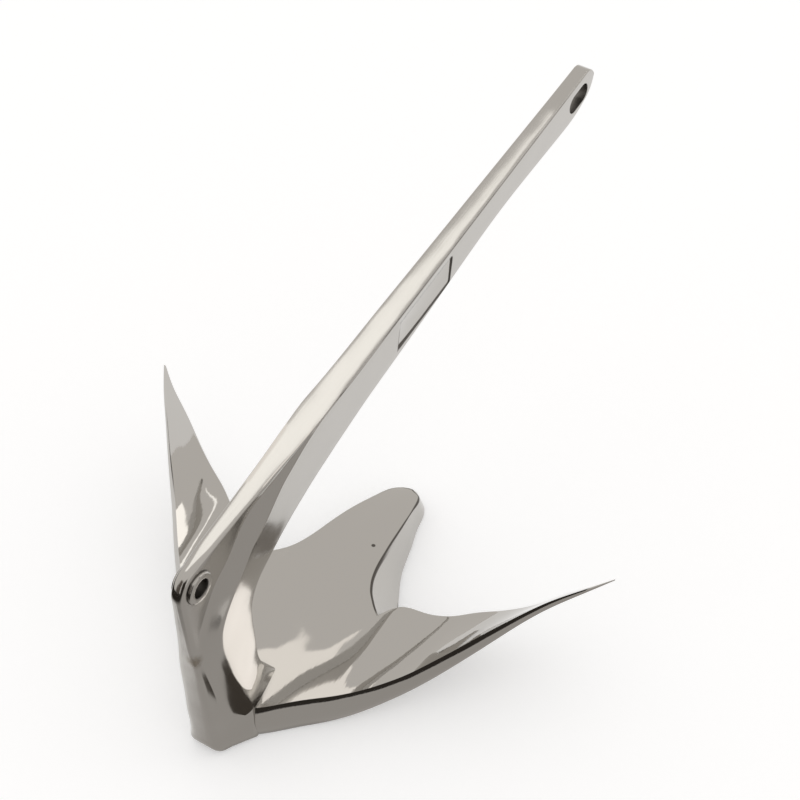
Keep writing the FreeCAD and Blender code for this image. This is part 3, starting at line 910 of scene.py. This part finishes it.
def corner_shade_mask(tree):
    """Painted shade in corners, where ambient occlusion finds them closed in."""
    corner = add_node(tree, "AmbientOcclusion", {"Distance": CORNER_REACH}, only_local=True, samples=8)
    return soft_fall(tree, corner.outputs["AO"], *CORNER_OPEN)


def eye_shade_mask(tree, x, z):
    """Painted shade inside the trip eye."""
    eye_x, eye_z = rise(TRIP_STATION, TRIP_FROM_BACK) + SHIFT[[0, 2]]
    bore = near(tree, combined(tree, x, 0.0, z), (eye_x, 0.0, eye_z), TRIP_RADIUS + 0.2, TRIP_RADIUS + 0.6)
    return maths(tree, "MULTIPLY", bore, EYE_SHADE)


def slot_shade_mask(tree, station, over):
    """Painted shade inside the shackle slot: near the line between the centres of its round ends."""
    from_centre = maths(tree, "ABSOLUTE", maths(tree, "SUBTRACT", station, SLOT_CENTRE))
    beyond = maths(tree, "MAXIMUM", maths(tree, "SUBTRACT", from_centre, SLOT_REACH), 0.0)
    across = maths(tree, "ADD", over, SLOT_DEPTH)
    gap = maths(tree, "SQRT", maths(tree, "ADD", maths(tree, "MULTIPLY", beyond, beyond),
                                    maths(tree, "MULTIPLY", across, across)))
    inside = soft_fall(tree, gap, SLOT_WIDTH / 2 + 0.05, SLOT_WIDTH / 2 + 0.5)
    return maths(tree, "MULTIPLY", inside, SLOT_SHADE)


def panel_shade_mask(tree, y, station, over):
    """Painted shade on the walls of the sunk panel: between the side of the shank and the panel's floor,
    within its outline.
    """
    half = maths(tree, "ADD", maths(tree, "MULTIPLY", station, THINNING), shank_half(0.0))
    wall = between(tree, maths(tree, "ADD", y, half), 0.12, PANEL_DEPTH - 0.14, 0.08)
    lean = maths(tree, "MULTIPLY", maths(tree, "ADD", over, PANEL_TOP), PANEL_SLANT / PANEL_HEIGHT)
    along = between(tree, maths(tree, "SUBTRACT", station, lean), PANEL_START - 0.5,
                    PANEL_START + PANEL_LENGTH + 0.5, 0.1)
    across = between(tree, over, -PANEL_TOP - PANEL_HEIGHT - 0.5, 0.5 - PANEL_TOP, 0.1)
    return chained(tree, "MULTIPLY", wall, along, across, PANEL_SHADE)


def palm_edge_half(tree, x):
    """Half the width of the palm at a place along it, as a curve through the edge's points."""
    root = PALM_EDGE[0][0]
    reach = 100.0
    width = 40.0
    edge = [((ahead - root) / reach, half / width) for ahead, half in [*PALM_EDGE, (PALM_TIP, 0.0)]]
    share = maths(tree, "DIVIDE", maths(tree, "SUBTRACT", x, root + float(SHIFT[0])), reach)
    curve = add_node(tree, "FloatCurve", {"Value": share})
    points = curve.mapping.curves[0].points
    points[0].location = edge[0]
    points[-1].location = (1.0, 0.0)
    for spot in edge[1:]:
        points.new(*spot)
    curve.mapping.update()
    return maths(tree, "MULTIPLY", curve.outputs["Value"], width)


def edge_reflection_mask(tree, x, y, z, upright):
    """Painted dark reflection along the right-hand edge of the palm, where the two polished faces meet."""
    side = maths(tree, "ABSOLUTE", y)
    off_edge = maths(tree, "ABSOLUTE", maths(tree, "SUBTRACT", side, palm_edge_half(tree, x)))
    return chained(tree, "MULTIPLY", soft_fall(tree, off_edge, *EDGE_REFLECTION_WIDTH),
                   soft_step(tree, upright, *EDGE_REFLECTION_FACING), between(tree, x, *EDGE_REFLECTION_LENGTH),
                   between(tree, z, *EDGE_REFLECTION_HEIGHT), soft_fall(tree, y, *EDGE_REFLECTION_SIDE))


def foot_shade_mask(tree, x, z, upright):
    """Painted shade on the lowest millimetres of the crown's walls, near the floor."""
    return chained(tree, "MULTIPLY", soft_fall(tree, z, *FOOT_HEIGHT), FOOT_SHADE,
                   soft_fall(tree, x, *FOOT_REAR), soft_fall(tree, upright, *FOOT_FACING))


def finish_and_shade_group():
    """Masks of the finish and of painted shade: satin faces, painted shade in corners, holes and at the
    crown's foot, a painted dark reflection on the palm's edge, the pit, and the stain.
    """
    tree, out = node_group("finish_and_shade", [("Satin", "NodeSocketFloat"), ("Painted shade and pit", "NodeSocketFloat"),
                                    ("Stain", "NodeSocketFloat")])
    place, (x, y, z) = millimetres(tree)
    station, over = along_shank(tree, x, z)
    upright = uprightness(tree)
    # Painted shade in corners, holes and at the crown's foot, a painted dark reflection on the palm's
    # edge, and the pit
    painted_shade_and_pit = chained(tree, "MAXIMUM", corner_shade_mask(tree), eye_shade_mask(tree, x, z),
                   panel_shade_mask(tree, y, station, over), slot_shade_mask(tree, station, over),
                   edge_reflection_mask(tree, x, y, z, upright), near(tree, place, PIT, *PIT_EDGE),
                   foot_shade_mask(tree, x, z, upright))
    ragged = maths(tree, "MULTIPLY", noise(tree, place, 0.9, 3.0), 5.0)
    tree.links.new(satin_mask(tree, x, y, z), out.inputs["Satin"])
    tree.links.new(painted_shade_and_pit, out.inputs["Painted shade and pit"])
    tree.links.new(near(tree, place, STAIN_SPOT, *STAIN_EDGE, ragged), out.inputs["Stain"])
    return tree


def relief_group():
    """Normal of the finish, from slow waves of the metal and fine polishing lines, and the lines."""
    tree, out = node_group("relief", [("Normal", "NodeSocketVector"), ("Lines", "NodeSocketFloat")])
    place, (x, y, z) = millimetres(tree)
    station, over = along_shank(tree, x, z)
    drawn = [maths(tree, "MULTIPLY", part, scale)
             for part, scale in ((station, LINES_ALONG), (y, LINES_ACROSS), (over, LINES_ACROSS))]
    lines = noise(tree, combined(tree, *drawn), 1.0, 4.0)
    slow = add_node(tree, "Bump", {"Distance": WAVE_HEIGHT, "Height": noise(tree, place, WAVE_SCALE, 1.0)})
    fine = add_node(tree, "Bump", {"Distance": LINE_HEIGHT, "Height": lines,
                                   "Normal": slow.outputs["Normal"]})
    tree.links.new(fine.outputs["Normal"], out.inputs["Normal"])
    tree.links.new(lines, out.inputs["Lines"])
    return tree


def new_material(name, values):
    """New material with values set on its shader. Gives the material, its tree and the shader."""
    material = bpy.data.materials.new(name)
    material.use_nodes = True
    shader = material.node_tree.nodes["Principled BSDF"]
    for label, value in values.items():
        shader.inputs[label].default_value = value
    return material, material.node_tree, shader


def polished_steel():
    """Stainless steel: mirror-polished claw, slightly satin shank and crown, painted shade in corners and
    holes.
    """
    material, tree, shader = new_material("polished_stainless", {"Metallic": 1.0})
    finish_and_shade = add_node(tree, "Group", {}, node_tree=finish_and_shade_group())
    relief = add_node(tree, "Group", {}, node_tree=relief_group())
    satin, painted_shade_and_pit, stain = finish_and_shade.outputs
    colour = tinted(tree, (*STEEL, 1), maths(tree, "MULTIPLY", stain, STAIN_SHARE), STAIN)
    # Painted shade and the pit darken the steel
    colour = tinted(tree, colour, maths(tree, "MULTIPLY", painted_shade_and_pit, PAINTED_SHADE_AND_PIT_SHARE), PAINTED_SHADE_AND_PIT)
    tree.links.new(colour, shader.inputs["Base Color"])
    lined = maths(tree, "ADD", relief.outputs["Lines"], 0.5)
    blur = chained(tree, "ADD", chained(tree, "MULTIPLY", satin, SATIN_BLUR, lined), MIRROR_BLUR,
                   maths(tree, "MULTIPLY", painted_shade_and_pit, PAINTED_SHADE_AND_PIT_BLUR), maths(tree, "MULTIPLY", stain, STAIN_BLUR))
    tree.links.new(blur, shader.inputs["Roughness"])
    tree.links.new(relief.outputs["Normal"], shader.inputs["Normal"])
    return material


def studio_world():
    """Even pale surroundings that light everything at a plain level."""
    world = bpy.data.worlds.new("studio")
    world.use_nodes = True
    bpy.context.scene.world = world
    world.node_tree.nodes["Background"].inputs["Color"].default_value = (*STUDIO_GREY, 1)


def floor_paper():
    """Pale paper that keeps the shadow, lifted towards white for the camera and all that mirrors it."""
    paint, tree, shader = new_material("floor_paper", {
        "Base Color": (*FLOOR_COLOUR, 1), "Roughness": 0.9, "Specular IOR Level": 0.0,
        "Emission Color": (1, 1, 1, 1)})
    rays = add_node(tree, "LightPath", {})
    seen = chained(tree, "MAXIMUM", *(rays.outputs[kind] for kind in ("Is Camera Ray", "Is Glossy Ray",
                                                                      "Is Transmission Ray")))
    tree.links.new(maths(tree, "MULTIPLY", seen, FLOOR_LIFT), shader.inputs["Emission Strength"])
    return paint


def stage_sheet(name, points, faces, material):
    """Sheet of the studio, given in millimetres."""
    mesh = bpy.data.meshes.new(name)
    mesh.from_pydata((np.array(points) / 1000).tolist(), [], faces)
    mesh.materials.append(material)
    thing = add_object(name, mesh)
    return thing


def lay_floor():
    """Square of pale paper that the casting stands on."""
    corners = FLOOR_HALF * np.array([(-1, -1, 0), (1, -1, 0), (1, 1, 0), (-1, 1, 0)])
    stage_sheet("floor", corners, [(0, 1, 2, 3)], floor_paper())


def mirrored_sheet(name, points, faces, light):
    """Sheet of even light that only mirrored rays meet. Gives its material's tree and shader."""
    glow, tree, shader = new_material(name, {
        "Base Color": (0, 0, 0, 1), "Specular IOR Level": 0.0, "Emission Color": (*light, 1),
        "Emission Strength": 1.0})
    thing = stage_sheet(name, points, faces, glow)
    thing.visible_camera = False
    thing.visible_diffuse = False
    thing.visible_shadow = False
    return tree, shader


def hang_screen(turns, climbs, light, steps=16):
    """Piece of a sphere round the casting: a point for each turn and climb, the radius away."""
    turn, climb = np.radians(np.meshgrid(np.linspace(*turns, steps), np.linspace(*climbs, steps)))
    way = np.stack([np.cos(climb) * np.cos(turn), np.cos(climb) * np.sin(turn), np.sin(climb)], axis=-1)
    index = np.arange(steps * steps).reshape(steps, steps)
    faces = np.stack([index[:-1, :-1], index[:-1, 1:], index[1:, 1:], index[1:, :-1]], axis=-1)
    mirrored_sheet("screen", SCREEN_RADIUS * way.reshape(-1, 3), faces.reshape(-1, 4).tolist(), light)


def hold_card(name, height, outline, light):
    """Level card. Gives its material's tree and shader."""
    points = [(x, y, height) for x, y in outline]
    return mirrored_sheet(name, points, [list(range(len(outline)))], light)


def hold_low_card(height, outline, light):
    """Level card that is clear as seen from below."""
    tree, shader = hold_card("low_card", height, outline, light)
    side = add_node(tree, "NewGeometry", {})
    tree.links.new(maths(tree, "SUBTRACT", 1.0, side.outputs["Backfacing"]), shader.inputs["Alpha"])


def lay_cloth(height, way, edge, light):
    """Cloth on the floor with a soft edge, as the distance along its way runs over the edge."""
    way = np.array(way)
    aside = np.array([-way[1], way[0]])
    start = way * edge[0]
    end = start + CLOTH_REACH * way
    corners = [start - CLOTH_REACH * aside, end - CLOTH_REACH * aside, end + CLOTH_REACH * aside,
               start + CLOTH_REACH * aside]
    points = [(*corner, height) for corner in corners]
    tree, shader = mirrored_sheet("cloth", points, [(0, 1, 2, 3)], light)
    x, y = millimetres(tree)[1][:2]
    along = maths(tree, "ADD", maths(tree, "MULTIPLY", x, way[0]), maths(tree, "MULTIPLY", y, way[1]))
    tree.links.new(soft_step(tree, along, *edge), shader.inputs["Alpha"])


def studio():
    """Pale floor, and the sheets round the casting that give its mirror something to show."""
    studio_world()
    lay_floor()
    for screen in SCREENS:
        hang_screen(*screen)
    for card in CARDS:
        hold_card("card", *card)
    for card in LOW_CARDS:
        hold_low_card(*card)
    for cloth in CLOTHS:
        lay_cloth(*cloth)


def camera():
    """Camera where the photograph was taken from."""
    view = bpy.data.cameras.new("camera")
    view.sensor_width = CAMERA_SENSOR
    view.lens = CAMERA_LENS
    thing = add_object("camera", view)
    turn = Matrix((CAMERA_RIGHT, CAMERA_UP, CAMERA_BACK)).transposed().to_4x4()
    turn.translation = CAMERA_PLACE
    thing.matrix_world = turn
    bpy.context.scene.camera = thing


casting = build_casting()
casting.data.materials.clear()
casting.data.materials.append(polished_steel())
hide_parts("claw_anchor")
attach(casting, "root")
studio()
camera()
bpy.context.scene.view_settings.view_transform = "Standard"
